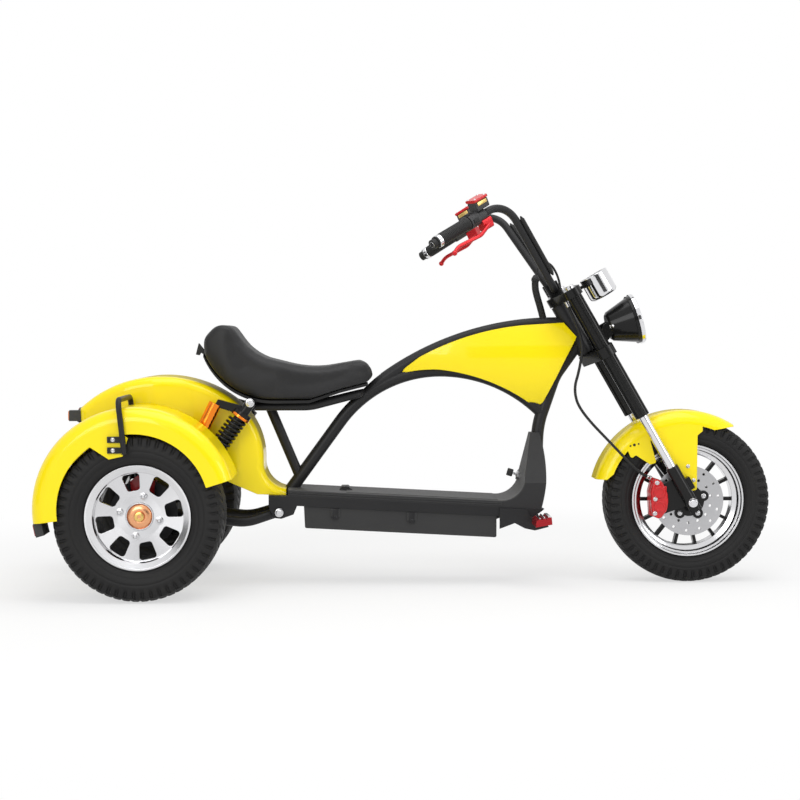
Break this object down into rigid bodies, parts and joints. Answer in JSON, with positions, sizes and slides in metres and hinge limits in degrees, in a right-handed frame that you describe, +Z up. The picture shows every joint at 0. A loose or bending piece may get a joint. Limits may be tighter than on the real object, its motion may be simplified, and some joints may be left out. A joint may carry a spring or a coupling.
{
  "type": "electric trike",
  "caption": "Low-slung electric trike with a raked fork and high handlebar, arched tube frame with a tank cover, flat footboard, sprung rear axle and separate rear fenders.",
  "frame": {"origin": "centre of the bounding box at ground level", "axes": "+X forward, +Y to the rider's left, +Z up"},
  "size_m": [2.0439, 0.806, 1.0947],
  "materials": {
    "yellow": "gloss",
    "frame_black": "satin",
    "moulded_black": "satin",
    "battery_black": "satin",
    "seat_leather": "matte",
    "tyre": "matte",
    "polished_alloy": "polished",
    "steel": "brushed",
    "chrome": "polished",
    "copper": "anodised",
    "red": "gloss",
    "damper_steel": "satin",
    "spring_black": "gloss",
    "rubber": "matte",
    "motor_cast": "matte",
    "lens_clear": "clear",
    "lens_red": "clear"
  },
  "bodies": {
    "frame": {"battery_case": "battery_black", "deck_rails": "frame_black", "down_tube": "frame_black", "fender_stays": "frame_black", "foot_brackets": "frame_black", "foot_pegs": "chrome", "footboard": "moulded_black", "head_tube": "frame_black", "key_switch": "steel", "lower_tube": "frame_black", "rear_axle": "frame_black", "rear_body": "yellow", "rear_calipers": "red", "rear_fender_left": "yellow", "rear_fender_right": "yellow", "rear_motor": "motor_cast", "rear_reflectors": "lens_red", "seat_cushion": "seat_leather", "seat_frame": "frame_black", "seat_pan": "moulded_black", "shock_dampers": "damper_steel", "shock_reservoirs": "copper", "shock_springs": "spring_black", "swing_arm": "frame_black", "tail_lamp": "moulded_black", "tank": "yellow", "top_tube": "frame_black", "wiring_loom": "rubber"},
    "steering": {"steering_stem": "frame_black", "upper_clamp": "frame_black", "fork_covers": "frame_black", "fork_tubes": "chrome", "fork_sliders": "frame_black", "front_spindle": "steel", "front_fender": "yellow", "front_caliper": "red", "handlebar": "frame_black", "grips": "rubber", "switch_housings": "moulded_black", "master_cylinders": "moulded_black", "reservoir_lids": "red", "brake_levers": "red", "headlamp_shell": "moulded_black", "headlamp_bezel": "chrome", "headlamp_lens": "lens_clear", "lamp_bracket": "frame_black", "gauge": "chrome", "brake_hose": "rubber"},
    "front_wheel": {"front_tyre": "tyre", "front_rim": "polished_alloy", "front_hub": "frame_black", "front_disc": "steel"},
    "rear_wheel_left": {"rear_tyre_left": "tyre", "rear_rim_left": "polished_alloy", "rear_hub_left": "steel", "hub_cap_left": "copper"},
    "rear_wheel_right": {"rear_tyre_right": "tyre", "rear_rim_right": "polished_alloy", "rear_hub_right": "steel", "hub_cap_right": "copper"}
  },
  "joints": [
    {"name": "steering", "type": "hinge", "parent": "frame", "child": "steering", "pos_m": [0.75309, 0, 0.217], "axis": [-0.5, 0, 0.866], "range_deg": [-35, 35]},
    {"name": "front_wheel_spin", "type": "hinge", "parent": "steering", "child": "front_wheel", "pos_m": [0.786, 0, 0.236], "axis": [0, 1, 0], "continuous": true},
    {"name": "rear_left_spin", "type": "hinge", "parent": "frame", "child": "rear_wheel_left", "pos_m": [-0.744, 0.2785, 0.226], "axis": [0, 1, 0], "continuous": true},
    {"name": "rear_right_spin", "type": "hinge", "parent": "frame", "child": "rear_wheel_right", "pos_m": [-0.744, -0.2785, 0.226], "axis": [0, 1, 0], "continuous": true}
  ]
}
